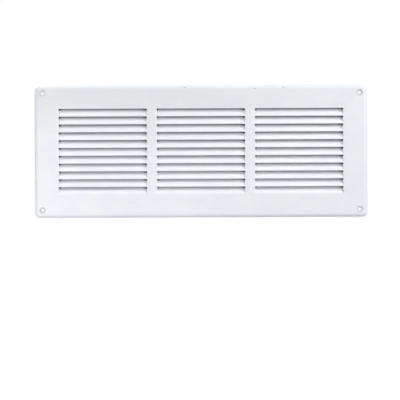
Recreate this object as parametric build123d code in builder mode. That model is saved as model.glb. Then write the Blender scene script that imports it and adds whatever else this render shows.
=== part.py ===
"""Wall ventilation grille: one lacquered sheet with pressed louvres, a rolled-back edge and four screw dimples.

Millimetres. +Z is up, the front faces -Y, and the origin is the middle of the wall plane (y = 0).
"""
import os
from math import acos, atan2, cos, degrees, radians, sin, tan

from build123d import *

# Blank and rim
panel_width = 380.0
panel_height = 151.0
sheet = 1.0  # gauge of the sheet
corner_radius = 6.0  # outline corners, seen from the front
rim_radius = 4.4  # outside radius of the edge rolled back to the wall
rim_depth = 3.0  # face of the panel to the wall, where the roll is cut off

# Louvre field
side_border = 27.5  # plain sheet left and right of the field
end_border = 25.5  # least plain sheet above and below the field
louvre_columns = 3
mullion_width = 11.3  # plain strip between two columns
louvre_pitch = 8.93  # slit to slit
louvre_angle = 40.0  # tilt of a slat, back from the face of the panel
fold_radius = 0.6  # inside radius of a slat's fold
lip_height = 0.5  # flat strip between a slat's fold and the slit below it
end_draft = 3.0  # slope of the pressed end walls, away from square

# Screw dimples
screw_hole_radius = 1.8
screw_head_angle = 90.0
dimple_crown = 0.6  # rounding where the face turns into a dimple
dimple_land = 0.3  # flat sheet between a dimple and the rolled edge

# Levels, front to back
face_y = -rim_depth
back_y = face_y + sheet

# Rolled edge: a quarter roll, cut off at the wall before it turns square to the face
roll_angle = acos(max(0.0, 1 - rim_depth / rim_radius))
roll_width = rim_radius * sin(roll_angle)
roll_reserve = rim_radius - roll_width  # what the full quarter would add on each side
blank_depth = max(rim_depth, rim_radius) + sheet

# Louvre layout: whole rows fill the height between the borders
louvre_rows = int((panel_height - 2 * end_border) / louvre_pitch)
field_width = panel_width - 2 * side_border
louvre_length = (field_width - (louvre_columns - 1) * mullion_width) / louvre_columns
column_pitch = louvre_length + mullion_width

# Slat section: the slit strip keeps its length, measured along the middle of the sheet
tilt = radians(louvre_angle)
outer_fold = fold_radius + sheet
fold_length = (fold_radius + sheet / 2) * tilt
slat_run = louvre_pitch - lip_height - fold_length
fold_y = face_y + outer_fold  # axis of the fold
slat_top_y = fold_y - outer_fold * cos(tilt) + slat_run * sin(tilt)
slat_top_z = lip_height + outer_fold * sin(tilt) + slat_run * cos(tilt)
slat_heel_y = slat_top_y + sheet * cos(tilt)
slat_heel_z = slat_top_z - sheet * sin(tilt)

# End walls lean inwards from the slit's ends
wall_run = tan(radians(end_draft))
wall_width = sheet / cos(radians(end_draft))
pocket_depth = slat_heel_y - face_y
tool_clearance = 1.0  # how far a cutting shape stands clear of the face

# Screw dimples reach the wall plane with the sheet's own thickness left under the head
countersink_radius = screw_hole_radius + (rim_depth - sheet) * tan(radians(screw_head_angle / 2))
dimple_root_radius = countersink_radius + dimple_crown
dimple_seat_radius = screw_hole_radius + sheet
dimple_height = -back_y
dimple_flare = degrees(atan2(dimple_root_radius - dimple_seat_radius, dimple_height))
screw_inset = roll_width + dimple_land + dimple_root_radius  # hole centre to the outline, both ways
screw_spacing_x = panel_width - 2 * screw_inset
screw_spacing_z = panel_height - 2 * screw_inset

# Back of one pressed louvre: slat, fold and end walls as one filled wedge behind the sheet
with BuildPart() as louvre_back:
    with BuildSketch(Plane.YZ) as back_section:
        with BuildLine():
            Line((face_y + sheet / 2, lip_height), (back_y, lip_height))
            CenterArc((fold_y, lip_height), fold_radius, 180, -louvre_angle)
            Line(
                (fold_y - fold_radius * cos(tilt), lip_height + fold_radius * sin(tilt)),
                (slat_heel_y, slat_heel_z),
            )
            Polyline(
                (slat_heel_y, slat_heel_z),
                (slat_top_y, slat_top_z),
                (back_y, louvre_pitch),
                (face_y + sheet / 2, louvre_pitch),
                (face_y + sheet / 2, lip_height),
            )
        make_face()
    extrude(amount=louvre_length, both=True)
    with BuildSketch(Plane.XY) as back_plan:
        with BuildLine():
            Polyline(
                (-louvre_length / 2 - wall_width, face_y),
                (louvre_length / 2 + wall_width, face_y),
                (louvre_length / 2 + wall_width - pocket_depth * wall_run, slat_heel_y),
                (-louvre_length / 2 - wall_width + pocket_depth * wall_run, slat_heel_y),
                close=True,
            )
        make_face()
    extrude(amount=2 * louvre_pitch, both=True, mode=Mode.INTERSECT)

# Mouth of one louvre: the space over the slat, from in front of the face to the slat's top edge
with BuildPart() as louvre_mouth:
    with BuildSketch(Plane.YZ) as mouth_section:
        with BuildLine():
            Line((face_y - tool_clearance, lip_height), (face_y, lip_height))
            CenterArc((fold_y, lip_height), outer_fold, 180, -louvre_angle)
            Line(
                (fold_y - outer_fold * cos(tilt), lip_height + outer_fold * sin(tilt)),
                (slat_top_y, slat_top_z),
            )
            Polyline(
                (slat_top_y, slat_top_z),
                (slat_top_y, louvre_pitch),
                (face_y - tool_clearance, louvre_pitch),
                (face_y - tool_clearance, lip_height),
            )
        make_face()
    extrude(amount=louvre_length, both=True)
    with BuildSketch(Plane.XY) as mouth_plan:
        with BuildLine():
            Polyline(
                (-louvre_length / 2 - tool_clearance * wall_run, face_y - tool_clearance),
                (louvre_length / 2 + tool_clearance * wall_run, face_y - tool_clearance),
                (louvre_length / 2 - pocket_depth * wall_run, slat_heel_y),
                (-louvre_length / 2 + pocket_depth * wall_run, slat_heel_y),
                close=True,
            )
        make_face()
    extrude(amount=2 * louvre_pitch, both=True, mode=Mode.INTERSECT)

# The panel: tray, louvres and screw dimples in one sheet
louvre_places = [
    Location((place.position.X, 0, place.position.Y - louvre_pitch / 2))
    for place in GridLocations(column_pitch, louvre_pitch, louvre_columns, louvre_rows)
]

with BuildPart() as louvre_panel:
    with BuildSketch(Plane.XZ.offset(rim_depth)) as outline:
        RectangleRounded(
            panel_width + 2 * roll_reserve,
            panel_height + 2 * roll_reserve,
            corner_radius + roll_reserve,
        )
    extrude(amount=-blank_depth)
    front_face = faces().sort_by(Axis.Y)[0]
    fillet(front_face.edges(), radius=rim_radius)
    open_side = faces().sort_by(Axis.Y)[-1]
    offset(amount=-sheet, openings=open_side)
    split(bisect_by=Plane.XZ, keep=Keep.TOP)

    with Locations(louvre_places):
        add(louvre_back.part)
    with Locations(louvre_places):
        add(louvre_mouth.part, mode=Mode.SUBTRACT)

    with BuildSketch(Plane.XZ) as dimple_seats:
        with GridLocations(screw_spacing_x, screw_spacing_z, 2, 2):
            Circle(dimple_seat_radius)
    extrude(amount=dimple_height, taper=-dimple_flare)
    with Locations(Plane.XZ.offset(rim_depth)):
        with GridLocations(screw_spacing_x, screw_spacing_z, 2, 2):
            CounterSinkHole(
                radius=screw_hole_radius,
                counter_sink_radius=countersink_radius,
                depth=2 * rim_depth,
                counter_sink_angle=screw_head_angle,
            )
    face_rings = edges().filter_by_position(Axis.Y, face_y, face_y).filter_by(lambda edge: edge.is_closed)
    fillet(face_rings, radius=dimple_crown)

louvre_panel.part.label = "louvre_panel"

os.makedirs("parts", exist_ok=True)
export_step(louvre_panel.part, "parts/louvre_panel.step")
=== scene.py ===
"""White lacquered ventilation grille: the finish of the pressed panel, its stage, light and camera.

Metres. +Z is up, the front faces -Y, and the origin is the middle of the wall plane.
"""
from math import acos, cos, pi, radians, sin, tan

import bmesh
import bpy
from mathutils import Matrix, Vector


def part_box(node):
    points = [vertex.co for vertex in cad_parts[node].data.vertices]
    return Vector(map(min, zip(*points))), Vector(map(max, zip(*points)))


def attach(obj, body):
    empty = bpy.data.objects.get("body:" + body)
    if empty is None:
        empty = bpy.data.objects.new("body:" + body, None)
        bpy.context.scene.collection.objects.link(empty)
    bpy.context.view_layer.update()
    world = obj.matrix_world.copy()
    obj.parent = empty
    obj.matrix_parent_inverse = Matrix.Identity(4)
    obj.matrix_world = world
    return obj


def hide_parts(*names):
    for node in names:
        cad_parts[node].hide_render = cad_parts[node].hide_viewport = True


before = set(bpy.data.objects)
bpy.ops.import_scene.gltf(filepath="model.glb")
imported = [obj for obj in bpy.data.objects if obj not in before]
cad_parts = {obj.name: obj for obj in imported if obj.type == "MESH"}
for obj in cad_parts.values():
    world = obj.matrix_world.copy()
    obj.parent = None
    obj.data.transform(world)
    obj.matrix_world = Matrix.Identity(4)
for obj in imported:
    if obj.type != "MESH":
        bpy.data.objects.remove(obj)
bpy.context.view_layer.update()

scene = bpy.context.scene
MM = 0.001

# Panel, from the frame
panel_low, panel_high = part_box("louvre_panel")
panel_middle = (panel_low + panel_high) / 2
panel_width = panel_high.x - panel_low.x
panel_height = panel_high.z - panel_low.z
face_y = panel_low.y
louvre_back_y = panel_high.y

# Pressed sheet, as the frame's panel is pressed
sheet = 1.0 * MM
louvre_columns = 3
louvre_rows = 11
louvre_length = 100.8 * MM
mullion_width = 11.3 * MM
louvre_pitch = 8.93 * MM
slat_tilt = radians(40.0)
fold_radius = 1.6 * MM  # front of the fold
lip_height = 0.5 * MM  # flat strip below the fold
wall_run = 0.32 * MM  # slope of a louvre's end wall, seen from the front
rim_radius = 4.4 * MM
rim_depth = 3.0 * MM
corner_radius = 6.0 * MM
screw_spacing = (362.26 * MM, 133.26 * MM)
hole_radius = 1.8 * MM
countersink_depth = 2.0 * MM
countersink_slope = radians(45.0)
dimple_crown = 0.6 * MM

# Finer than the frame's panel: trimmed slat corners and lacquered edges
corner_relief = 1.5 * MM  # cut off a slat's free edge at its ends
relief_length = 3.0 * MM
relief_knee = (0.4, 0.5)  # where the cut turns, as shares of its length and depth
edge_break = 0.12 * MM  # lacquer rounds every sharp edge
edge_break_segments = 2
edge_break_from = radians(35.0)  # least turn of an edge that is rounded
sharp_from = radians(50.0)  # least turn of an edge that is shaded sharp

# Steps along curves
fold_steps = 5
slat_steps = 4
rim_steps = 8
corner_steps = 8
crown_steps = 4
hole_steps = 32
inner_station = 1 / 3  # innermost section of a slat, as a share of its half length
merge_distance = 0.002 * MM
support = 0.3 * MM  # flat ring beside a bend, so that its shading stays at the bend

# Worked out
fold_length = (fold_radius - sheet / 2) * slat_tilt
slat_run = louvre_pitch - lip_height - fold_length
column_pitch = louvre_length + mullion_width
field_width = louvre_columns * column_pitch
field_height = louvre_rows * louvre_pitch
roll_angle = acos(1 - rim_depth / rim_radius)
roll_width = rim_radius * sin(roll_angle)

# Lacquer; a noise is given as turns per metre and detail, and a range as the part of it that counts
lacquer_cool = (0.768, 0.794, 0.836)
lacquer_warm = (0.824, 0.843, 0.872)
lacquer_blue = (0.762, 0.797, 0.877)
lacquer_grey = (0.830, 0.841, 0.833)
cloud_noise = (16.0, 2.0)  # cool to warm
cloud_range = (0.35, 0.65)
patch_noise = (85.0, 3.0)  # blue to grey
patch_range = (0.3, 0.7)
patch_share = 0.5
lacquer_specular = 0.35
lacquer_coat = 0.05
coat_roughness = 0.3
gloss_noise = (320.0, 3.0)
gloss_range = (0.3, 0.7)
roughness_range = (0.4, 0.52)
peel_noise = (700.0, 2.0)  # orange peel
peel_strength = 0.35
peel_height = 0.02 * MM

# Streaks along the sheet, and painted shade on its flat border, darker towards the upper left
streak_and_shade_colour = (0.52, 0.52, 0.5)
streak_noise = (420.0, 2.0)
streak_range = (0.3, 0.7)
streak_squeeze = (0.12, 1.0, 1.0)
streak_most = 0.06
border_shade_most = 0.215
border_shade_depth = (0.2 * MM, 0.8 * MM)  # behind the face, where the painted shade fades out
border_shade_from_below = (10.0 * MM, 60.0 * MM)  # heights between which it sets in
border_shade_from_right = (150.0 * MM, -20.0 * MM)  # and the same from right to left

# Soil and painted shade in the louvres: darker and warmer the deeper a louvre goes, in patches
soil_and_shade_colour = (0.55, 0.52, 0.37)
soil_and_shade_noise = (240.0, 4.0)
soil_and_shade_range = (0.35, 0.7)
soil_and_shade_patches = (0.3, 1.0)
soil_and_shade_start = 1.5 * MM  # behind the face
soil_and_shade_most = 0.09

# Screw seats: grey painted in as painted shade
seat_shade_colour = (0.42, 0.43, 0.44)
seat_inner = 2.6 * MM  # fully grey up to here, from the middle of the hole
seat_outer = 4.3 * MM  # and not at all from here on
seat_shade = (0.15, 0.95)  # least, most
seat_shade_side = (0.45, 0.0, 1.0)  # painted shade is strongest where a seat faces up, and less so right
seat_shade_range = (-0.4, 0.6)

# Chips on the top edge
chip_colour = (0.48, 0.48, 0.49)
edge_chips = [(-18.3, -2.72, 72.9), (61.3, -2.98, 71.6), (94.4, -2.85, 72.4)]  # millimetres
chip_squeeze = (0.42, 1.0, 1.0)  # chips are longer along the edge
chip_radius = 0.9 * MM
chip_core = 0.5  # share of the radius that is bare

# Painted shade behind the louvres: a grey card, seen only by the camera, stands for the shade seen through
# the slits
shade_card_tone = 0.38
shade_card_end_tone = 0.06
shade_card_left_fade = 3.0 * MM
shade_card_right_fade = 7.0 * MM
shade_card_light = (1.38, 0.86)  # share of the tone at the field's bottom and top
shade_card_inset = (25.0 * MM, 24.0 * MM)  # from the panel's outline
shade_card_gap = 1.0 * MM  # behind the louvres

# Floor and light
floor_level = -0.42
floor_half = 1.6
floor_colour = (0.55, 0.55, 0.56)
floor_glow = 0.6  # lifts the floor to the white of the background
floor_fade = (0.5, 1.4)
ambient_colour = (0.95, 0.97, 1.0)
ambient_strength = 0.245
paper_colour = (1.0, 1.0, 1.0)

# Lamps, a tall strip at the upper right first: place, aim, width, height and watts
lamps = {
    "key_lamp": ((1.2, -0.98, 0.87), (0.0, 0.0, 0.0), 0.35, 1.5, 26.4),
    "fill_lamp": ((-1.0, -0.8, 0.9), (0.0, 0.0, 0.0), 0.8, 0.8, 9.3),
    "low_lamp": ((-0.31, -0.28, -0.22), (-0.08, 0.0, -0.04), 0.25, 0.25, 0.42),
    "back_lamp": ((-0.9, 1.5, 1.0), (0.0, 0.0, 0.0), 1.0, 1.0, 29.0),
}

# Camera: the photograph's frame, square on to the panel
frame_pixels = 400
panel_pixels = 333.2
panel_centre_pixel = (201.03, 151.35)
camera_distance = 1.3
camera_roll = radians(0.23)
sensor_width = 36.0


class NodeBench:
    """Adds nodes to one material's or world's tree and joins them up."""

    def __init__(self, tree):
        self.tree = tree
        tree.nodes.clear()

    def put(self, value, socket):
        """Joins another socket to this one, or sets a plain number, vector or colour on it."""
        if isinstance(value, bpy.types.NodeSocket):
            self.tree.links.new(value, socket)
        elif socket.type == "RGBA":
            socket.default_value = (*value, 1.0)
        else:
            socket.default_value = value

    def add(self, kind, inputs=None, **settings):
        """A new node with its settings made and its inputs filled."""
        node = self.tree.nodes.new(kind)
        for name, value in settings.items():
            setattr(node, name, value)
        for key, value in (inputs or {}).items():
            self.put(value, node.inputs[key])
        return node

    def noise(self, where, scale, detail):
        """Noise over a surface."""
        node = self.add("ShaderNodeTexNoise", {"Vector": where, "Scale": scale, "Detail": detail})
        return node.outputs["Fac"]

    def ranged(self, value, span, target=(0.0, 1.0), interpolation="LINEAR"):
        """A number carried from one range to another, clamped."""
        ends = {"From Min": span[0], "From Max": span[1], "To Min": target[0], "To Max": target[1]}
        node = self.add("ShaderNodeMapRange", {"Value": value, **ends}, interpolation_type=interpolation)
        return node.outputs["Result"]

    def joined(self, operation, first, second):
        """Two numbers joined by a math operation."""
        return self.add("ShaderNodeMath", {0: first, 1: second}, operation=operation).outputs["Value"]

    def scaled(self, vector, factors):
        """A vector with each of its parts multiplied."""
        node = self.add("ShaderNodeVectorMath", {0: vector, 1: factors}, operation="MULTIPLY")
        return node.outputs["Vector"]

    def measured(self, operation, *vectors):
        """A number from one vector or two, such as a length or a distance."""
        node = self.add("ShaderNodeVectorMath", dict(enumerate(vectors)), operation=operation)
        return node.outputs["Value"]

    def split(self, vector):
        """A vector's three parts."""
        parts = self.add("ShaderNodeSeparateXYZ", {"Vector": vector}).outputs
        return parts["X"], parts["Y"], parts["Z"]

    def mixed(self, factor, first, second):
        """A colour between two others."""
        node = self.add("ShaderNodeMix", {"Factor": factor}, data_type="RGBA")
        colours = [socket for socket in node.inputs if socket.type == "RGBA"]
        self.put(first, colours[0])
        self.put(second, colours[1])
        return next(socket for socket in node.outputs if socket.type == "RGBA")

    def mixed_shader(self, factor, first, second):
        """A shader between two others."""
        return self.add("ShaderNodeMixShader", {0: factor, 1: first, 2: second}).outputs["Shader"]


def new_material(name):
    """An empty node material, and the bench to fill it on."""
    material = bpy.data.materials.new(name)
    material.use_nodes = True
    return material, NodeBench(material.node_tree)


def cloudy_white(bench, place):
    """White that drifts from cool to warm in broad clouds, and from blue to grey in finer patches."""
    clouds = bench.ranged(bench.noise(place, *cloud_noise), cloud_range)
    patches = bench.ranged(bench.noise(place, *patch_noise), patch_range)
    tone = bench.mixed(clouds, lacquer_cool, lacquer_warm)
    tint = bench.mixed(patches, lacquer_blue, lacquer_grey)
    return bench.mixed(patch_share, tone, tint)


def streaked(bench, place, paint):
    """Faint streaks along the sheet."""
    drawn = bench.scaled(place, streak_squeeze)
    streaks = bench.ranged(bench.noise(drawn, *streak_noise), streak_range, (0.0, streak_most))
    return bench.mixed(streaks, paint, streak_and_shade_colour)


def soiled_and_shaded(bench, place, paint):
    """Soil and painted shade in patches, more of it the deeper a louvre goes."""
    _, y, _ = bench.split(place)
    depth = bench.ranged(y, (face_y + soil_and_shade_start, louvre_back_y), (0.0, soil_and_shade_most))
    patches = bench.ranged(bench.noise(place, *soil_and_shade_noise), soil_and_shade_range, soil_and_shade_patches)
    return bench.mixed(bench.joined("MULTIPLY", depth, patches), paint, soil_and_shade_colour)


def border_shaded(bench, place, paint):
    """Painted shade on the flat border, darkest at the upper left."""
    x, y, z = bench.split(place)
    flatness = bench.ranged(y, (face_y + border_shade_depth[0], face_y + border_shade_depth[1]), (border_shade_most, 0.0))
    upper = bench.ranged(z, border_shade_from_below)
    leftward = bench.ranged(x, border_shade_from_right)
    border_shade = bench.joined("MULTIPLY", flatness, bench.joined("MULTIPLY", upper, leftward))
    return bench.mixed(border_shade, paint, streak_and_shade_colour)


def shaded_seats(bench, place, normal, paint):
    """Screw seats painted grey as painted shade, most where they face up and right."""
    folded = bench.add("ShaderNodeVectorMath", {0: place}, operation="ABSOLUTE").outputs["Vector"]
    across = bench.scaled(folded, (1.0, 0.0, 1.0))
    screw = (screw_spacing[0] / 2, 0.0, screw_spacing[1] / 2)
    seat_ring = bench.ranged(bench.measured("DISTANCE", across, screw), (seat_inner, seat_outer), (1.0, 0.0))
    seat_facing = bench.ranged(bench.measured("DOT_PRODUCT", normal, seat_shade_side), seat_shade_range, seat_shade)
    return bench.mixed(bench.joined("MULTIPLY", seat_ring, seat_facing), paint, seat_shade_colour)


def chipped_edge(bench, place, paint):
    """Small chips along the top edge."""
    squeezed = bench.scaled(place, chip_squeeze)
    chips = []
    for chip_place in edge_chips:
        centre = [MM * c * s for c, s in zip(chip_place, chip_squeeze)]
        reach = bench.measured("DISTANCE", squeezed, centre)
        chips.append(bench.ranged(reach, (chip_core * chip_radius, chip_radius), (1.0, 0.0)))
    bare = chips[0]
    for chip in chips[1:]:
        bare = bench.joined("MAXIMUM", bare, chip)
    return bench.mixed(bare, paint, chip_colour)


def white_lacquer():
    """Satin white lacquer with streaks, soil, chips and painted shade, uneven gloss and orange peel."""
    material, bench = new_material("white_lacquer_finish")
    texture = bench.add("ShaderNodeTexCoord")
    place = texture.outputs["Object"]
    paint = cloudy_white(bench, place)
    paint = streaked(bench, place, paint)
    paint = soiled_and_shaded(bench, place, paint)
    paint = border_shaded(bench, place, paint)
    paint = shaded_seats(bench, place, texture.outputs["Normal"], paint)
    paint = chipped_edge(bench, place, paint)
    gloss = bench.ranged(bench.noise(place, *gloss_noise), gloss_range, roughness_range)
    peel = bench.add("ShaderNodeBump", {
        "Strength": peel_strength,
        "Distance": peel_height,
        "Height": bench.noise(place, *peel_noise),
    })
    coat = bench.add("ShaderNodeBsdfPrincipled", {
        "Base Color": paint,
        "Roughness": gloss,
        "Normal": peel.outputs["Normal"],
        "Specular IOR Level": lacquer_specular,
        "Coat Weight": lacquer_coat,
        "Coat Roughness": coat_roughness,
    })
    bench.add("ShaderNodeOutputMaterial", {"Surface": coat.outputs["BSDF"]})
    return material


def painted_shade_card_material():
    """Painted shade on a grey card: darker behind the slits' ends, painted light lower down, and clear from
    behind.
    """
    material, bench = new_material("painted_shade_card")
    x, _, z = bench.split(bench.add("ShaderNodeTexCoord").outputs["Object"])
    wrap = {0: x, 1: column_pitch / 2, 2: -column_pitch / 2}
    along = bench.add("ShaderNodeMath", wrap, operation="WRAP").outputs["Value"]
    tones = (shade_card_end_tone, shade_card_tone)
    end = louvre_length / 2
    # painted shade: darker towards each slit's ends, more so at the right ends
    left = bench.ranged(along, (-end, shade_card_left_fade - end), tones)
    right = bench.ranged(along, (end, end - shade_card_right_fade), tones)
    # painted light: lighter towards the bottom of the field
    height = bench.ranged(z, (-field_height / 2, field_height / 2), shade_card_light)
    tone = bench.joined("MULTIPLY", bench.joined("MINIMUM", left, right), height)
    wall = bench.add("ShaderNodeBsdfDiffuse", {"Color": tone}).outputs["BSDF"]
    clear = bench.add("ShaderNodeBsdfTransparent").outputs["BSDF"]
    behind = bench.add("ShaderNodeNewGeometry").outputs["Backfacing"]
    bench.add("ShaderNodeOutputMaterial", {"Surface": bench.mixed_shader(behind, wall, clear)})
    return material


def studio_floor():
    """White floor that keeps the shadow and fades into the white background; only its top shows."""
    material, bench = new_material("studio_floor")
    paint = bench.add("ShaderNodeBsdfDiffuse", {"Color": floor_colour}).outputs["BSDF"]
    path = bench.add("ShaderNodeLightPath").outputs
    seen = bench.joined("MAXIMUM", path["Is Camera Ray"], path["Is Glossy Ray"])
    level = bench.joined("MULTIPLY", seen, floor_glow)
    glow = bench.add("ShaderNodeEmission", {"Strength": level}).outputs["Emission"]
    lit = bench.add("ShaderNodeAddShader", {0: paint, 1: glow}).outputs["Shader"]
    clear = bench.add("ShaderNodeBsdfTransparent").outputs["BSDF"]
    place = bench.add("ShaderNodeTexCoord").outputs["Object"]
    reach = bench.measured("LENGTH", place)
    fade = bench.ranged(reach, floor_fade, interpolation="SMOOTHSTEP")
    below = bench.add("ShaderNodeNewGeometry").outputs["Backfacing"]
    hidden = bench.joined("MAXIMUM", fade, below)
    bench.add("ShaderNodeOutputMaterial", {"Surface": bench.mixed_shader(hidden, lit, clear)})
    return material


def slat_section(relief):
    """Front of one louvre, bottom to top: height on the flat blank, then depth and height when pressed."""
    run_length = slat_run - relief
    points = [(0.0, 0.0, 0.0), (lip_height, 0.0, lip_height)]
    for step in range(1, fold_steps + 1):
        turn = slat_tilt * step / fold_steps
        blank = lip_height + fold_length * step / fold_steps
        points.append((blank, fold_radius * (1 - cos(turn)), lip_height + fold_radius * sin(turn)))
    _, fold_depth, fold_top = points[-1]
    for step in range(1, slat_steps + 1):
        run = run_length * step / slat_steps
        blank = lip_height + fold_length + slat_run * step / slat_steps
        points.append((blank, fold_depth + run * sin(slat_tilt), fold_top + run * cos(slat_tilt)))
    return points


def louvre_cell():
    """One louvre with half a mullion on each side; its end walls lead from the plate back to the slat."""
    half = louvre_length / 2
    slat_end = half - wall_run
    stations = [
        (column_pitch / 2, 0.0, 0.0),
        (half, 0.0, 0.0),
        (slat_end, 1.0, corner_relief),
        (slat_end - relief_knee[0] * relief_length, 1.0, relief_knee[1] * corner_relief),
        (slat_end - relief_length, 1.0, 0.0),
        (inner_station * half, 1.0, 0.0),
    ]
    columns = [(-x, pressed, relief) for x, pressed, relief in stations] + stations[::-1]
    bm = bmesh.new()
    grid = []
    for x, pressed, relief in columns:
        line = []
        for blank, depth, height in slat_section(relief):
            z = blank + pressed * (height - blank) - louvre_pitch / 2
            line.append(bm.verts.new((x, face_y + pressed * depth, z)))
        grid.append(line)
    for left, right in zip(grid, grid[1:]):
        for row in range(len(left) - 1):
            bm.faces.new((left[row], right[row], right[row + 1], left[row + 1]))
    mesh = bpy.data.meshes.new("louvre_cell")
    bm.to_mesh(mesh)
    bm.free()
    return mesh


def louvre_field_tree():
    """Geometry nodes: one louvre repeated over a grid of columns and rows, its touching edges merged."""
    tree = bpy.data.node_groups.new("louvre_field", "GeometryNodeTree")
    inputs = {
        "Geometry": "NodeSocketGeometry",
        "Columns": "NodeSocketInt",
        "Rows": "NodeSocketInt",
        "Width": "NodeSocketFloat",
        "Height": "NodeSocketFloat",
        "Finish": "NodeSocketMaterial",
    }
    for name, kind in inputs.items():
        tree.interface.new_socket(name, in_out="INPUT", socket_type=kind)
    tree.interface.new_socket("Geometry", in_out="OUTPUT", socket_type="NodeSocketGeometry")
    nodes = tree.nodes
    links = tree.links
    given = nodes.new("NodeGroupInput")
    result = nodes.new("NodeGroupOutput")
    grid = nodes.new("GeometryNodeMeshGrid")
    links.new(given.outputs["Width"], grid.inputs["Size X"])
    links.new(given.outputs["Height"], grid.inputs["Size Y"])
    links.new(given.outputs["Columns"], grid.inputs["Vertices X"])
    links.new(given.outputs["Rows"], grid.inputs["Vertices Y"])
    upright = nodes.new("GeometryNodeTransform")
    upright.inputs["Rotation"].default_value = (pi / 2, 0.0, 0.0)
    links.new(grid.outputs["Mesh"], upright.inputs["Geometry"])
    places = nodes.new("GeometryNodeInstanceOnPoints")
    links.new(upright.outputs["Geometry"], places.inputs["Points"])
    links.new(given.outputs["Geometry"], places.inputs["Instance"])
    realize = nodes.new("GeometryNodeRealizeInstances")
    links.new(places.outputs["Instances"], realize.inputs["Geometry"])
    merge = nodes.new("GeometryNodeMergeByDistance")
    merge.inputs["Distance"].default_value = merge_distance
    links.new(realize.outputs["Geometry"], merge.inputs["Geometry"])
    finish = nodes.new("GeometryNodeSetMaterial")
    links.new(given.outputs["Finish"], finish.inputs["Material"])
    links.new(merge.outputs["Geometry"], finish.inputs["Geometry"])
    links.new(finish.outputs["Geometry"], result.inputs["Geometry"])
    return tree


def evaluated_mesh(obj):
    """The object's mesh with its modifiers applied."""
    depsgraph = bpy.context.evaluated_depsgraph_get()
    return bpy.data.meshes.new_from_object(obj.evaluated_get(depsgraph))


def louvre_field(material):
    """All louvres and the mullions between them, as one open mesh."""
    obj = bpy.data.objects.new("louvre_field", louvre_cell())
    scene.collection.objects.link(obj)
    modifier = obj.modifiers.new("louvre_field", "NODES")
    tree = louvre_field_tree()
    modifier.node_group = tree
    values = {
        "Columns": louvre_columns,
        "Rows": louvre_rows,
        "Width": (louvre_columns - 1) * column_pitch,
        "Height": (louvre_rows - 1) * louvre_pitch,
        "Finish": material,
    }
    for item in tree.interface.items_tree:
        if item.in_out == "INPUT" and item.name in values:
            modifier[item.identifier] = values[item.name]
    mesh = evaluated_mesh(obj)
    bpy.data.objects.remove(obj)
    return mesh


def outline_ring(bm, inset, depth):
    """Closed ring of vertices along the panel's outline, set in and back from it."""
    ring = []
    radius = corner_radius - inset
    y = face_y + depth
    for corner, (side_x, side_z) in enumerate(((1, 1), (-1, 1), (-1, -1), (1, -1))):
        centre_x = side_x * (panel_width / 2 - corner_radius)
        centre_z = side_z * (panel_height / 2 - corner_radius)
        for step in range(corner_steps + 1):
            turn = (corner + step / corner_steps) * pi / 2
            ring.append(bm.verts.new((centre_x + radius * cos(turn), y, centre_z + radius * sin(turn))))
    return ring


def hole_ring(bm, centre_x, centre_z, radius, depth):
    """Closed ring of vertices round one screw hole."""
    turns = [2 * pi * step / hole_steps for step in range(hole_steps)]
    return [
        bm.verts.new((centre_x + radius * cos(turn), face_y + depth, centre_z + radius * sin(turn)))
        for turn in turns
    ]


def skin_between(bm, rings):
    """Quads from each closed ring to the next."""
    for outer, inner in zip(rings, rings[1:]):
        count = len(outer)
        for i in range(count):
            j = (i + 1) % count
            bm.faces.new((outer[i], outer[j], inner[j], inner[i]))


def ring_edges(bm, ring):
    """The edges of a closed ring, made where they are missing."""
    edges = []
    for i, vert in enumerate(ring):
        other = ring[(i + 1) % len(ring)]
        edges.append(bm.edges.get((vert, other)) or bm.edges.new((vert, other)))
    return edges


def rolled_rim(bm):
    """The edge rolled back to the wall; returns the ring where the flat plate begins."""
    rings = [outline_ring(bm, roll_width + support, 0.0)]
    for step in range(rim_steps + 1):
        turn = roll_angle * step / rim_steps
        rings.append(outline_ring(bm, roll_width - rim_radius * sin(turn), rim_radius * (1 - cos(turn))))
    skin_between(bm, rings)
    return rings[0]


def screw_dimple(bm, centre_x, centre_z):
    """One countersunk dimple with a rounded crown; returns the ring where the flat plate begins."""
    top_radius = hole_radius + countersink_depth * tan(countersink_slope)
    crown_start = top_radius + dimple_crown * tan(countersink_slope / 2)
    rings = [hole_ring(bm, centre_x, centre_z, crown_start + support / 2, 0.0)]
    for step in range(crown_steps + 1):
        turn = countersink_slope * step / crown_steps
        radius = crown_start - dimple_crown * sin(turn)
        rings.append(hole_ring(bm, centre_x, centre_z, radius, dimple_crown * (1 - cos(turn))))
    rings.append(hole_ring(bm, centre_x, centre_z, hole_radius, countersink_depth))
    skin_between(bm, rings)
    return rings[0]


def field_outline(bm):
    """Edges round the louvre field at plate level; the top slits get their straight upper edge."""
    half_x = field_width / 2
    half_z = field_height / 2
    near = merge_distance

    def on_outline(vert):
        at_face = abs(vert.co.y - face_y) < near
        at_side = abs(abs(vert.co.x) - half_x) < near
        at_end = abs(abs(vert.co.z) - half_z) < near
        return at_face and (at_side or at_end)

    edges = [e for e in bm.edges if e.is_boundary and all(on_outline(v) for v in e.verts)]
    for column in range(louvre_columns):
        centre = (column - (louvre_columns - 1) / 2) * column_pitch
        ends = []
        for side in (-1, 1):
            corner = Vector((centre + side * louvre_length / 2, face_y, half_z))
            ends.append(min(bm.verts, key=lambda vert: (vert.co - corner).length))
        edges.append(bm.edges.new(ends))
    return edges


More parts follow.
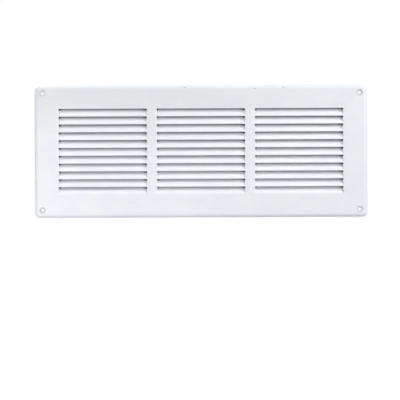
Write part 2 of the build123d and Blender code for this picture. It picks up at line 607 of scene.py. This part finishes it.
def front_skin(material):
    """Front of the whole sheet: louvre field, flat plate, screw dimples and rolled rim, facing forwards."""
    bm = bmesh.new()
    bm.from_mesh(louvre_field(material))
    plate_edges = field_outline(bm)
    plate_edges += ring_edges(bm, rolled_rim(bm))
    for side_x in (-1, 1):
        for side_z in (-1, 1):
            dimple = screw_dimple(bm, side_x * screw_spacing[0] / 2, side_z * screw_spacing[1] / 2)
            plate_edges += ring_edges(bm, dimple)
    bmesh.ops.triangle_fill(bm, use_beauty=True, edges=plate_edges, normal=(0.0, -1.0, 0.0))
    bmesh.ops.recalc_face_normals(bm, faces=bm.faces)
    plate = max(bm.faces, key=lambda f: f.calc_area())
    if plate.normal.y > 0:
        bmesh.ops.reverse_faces(bm, faces=bm.faces)
    mesh = bpy.data.meshes.new("pressed_panel")
    bm.to_mesh(mesh)
    bm.free()
    mesh.materials.clear()
    mesh.materials.append(material)
    return mesh


def pressed_panel(material):
    """The whole sheet with its thickness and lacquered edges."""
    obj = bpy.data.objects.new("pressed_panel", front_skin(material))
    scene.collection.objects.link(obj)
    wall = obj.modifiers.new("sheet", "SOLIDIFY")
    wall.thickness = sheet
    wall.offset = -1.0
    wall.use_even_offset = True
    wall.use_quality_normals = True
    soft = obj.modifiers.new("edge_break", "BEVEL")
    soft.width = edge_break
    soft.segments = edge_break_segments
    soft.limit_method = "ANGLE"
    soft.angle_limit = edge_break_from
    finished = evaluated_mesh(obj)
    obj.modifiers.clear()
    obj.data = finished
    finished.name = "pressed_panel"
    finished.shade_smooth()
    finished.set_sharp_from_angle(angle=sharp_from)
    return obj


def stage_plane(name, corners, material):
    """One rectangle with its material."""
    mesh = bpy.data.meshes.new(name)
    mesh.from_pydata(corners, [], [(0, 1, 2, 3)])
    mesh.materials.append(material)
    obj = bpy.data.objects.new(name, mesh)
    scene.collection.objects.link(obj)
    return obj


def build_stage():
    """Floor well below the panel, and the grey card of painted shade close behind the louvres."""
    half = floor_half
    z = floor_level
    stage_plane(
        "floor",
        [(-half, -half, z), (half, -half, z), (half, half, z), (-half, half, z)],
        studio_floor(),
    )
    # Grey card of painted shade behind the louvres, seen only by the camera
    half_x = panel_width / 2 - shade_card_inset[0]
    half_z = panel_height / 2 - shade_card_inset[1]
    y = louvre_back_y + shade_card_gap
    shade_card = stage_plane(
        "painted_shade_card",
        [(-half_x, y, -half_z), (half_x, y, -half_z), (half_x, y, half_z), (-half_x, y, half_z)],
        painted_shade_card_material(),
    )
    shade_card.visible_diffuse = False
    shade_card.visible_glossy = False
    shade_card.visible_transmission = False
    shade_card.visible_shadow = False


def add_lamp(name, place, aim, width, height, watts):
    """A soft lamp at place, facing aim."""
    lamp = bpy.data.lights.new(name, "AREA")
    lamp.shape = "RECTANGLE"
    lamp.size = width
    lamp.size_y = height
    lamp.energy = watts
    obj = bpy.data.objects.new(name, lamp)
    scene.collection.objects.link(obj)
    obj.location = place
    obj.rotation_euler = (Vector(aim) - Vector(place)).to_track_quat("-Z", "Y").to_euler()


def build_light():
    """The lamps, an even ambient light, and white where the background itself is seen."""
    for name, setting in lamps.items():
        add_lamp(name, *setting)
    world = bpy.data.worlds.new("studio_world")
    scene.world = world
    world.use_nodes = True
    bench = NodeBench(world.node_tree)
    ambient = bench.add("ShaderNodeBackground", {"Color": ambient_colour, "Strength": ambient_strength})
    paper = bench.add("ShaderNodeBackground", {"Color": paper_colour, "Strength": 1.0})
    path = bench.add("ShaderNodeLightPath").outputs
    seen = bench.joined("MAXIMUM", path["Is Camera Ray"], path["Is Glossy Ray"])
    seen = bench.joined("MAXIMUM", seen, path["Is Transmission Ray"])
    sky = bench.mixed_shader(seen, ambient.outputs["Background"], paper.outputs["Background"])
    bench.add("ShaderNodeOutputWorld", {"Surface": sky})


def build_camera():
    """Square on, with the panel at its place in the photograph's frame."""
    camera = bpy.data.cameras.new("camera")
    obj = bpy.data.objects.new("camera", camera)
    scene.collection.objects.link(obj)
    obj.location = (panel_middle.x, face_y - camera_distance, panel_middle.z)
    obj.rotation_euler = (Matrix.Rotation(pi / 2, 4, "X") @ Matrix.Rotation(-camera_roll, 4, "Z")).to_euler()
    view_width = panel_width * frame_pixels / panel_pixels
    camera.sensor_width = sensor_width
    camera.lens = sensor_width * camera_distance / view_width
    camera.shift_x = (frame_pixels / 2 - panel_centre_pixel[0]) / frame_pixels
    camera.shift_y = (panel_centre_pixel[1] - frame_pixels / 2) / frame_pixels
    scene.camera = obj


panel = pressed_panel(white_lacquer())
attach(panel, "root")
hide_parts("louvre_panel")

build_stage()
build_light()
build_camera()
scene.view_settings.view_transform = "Standard"
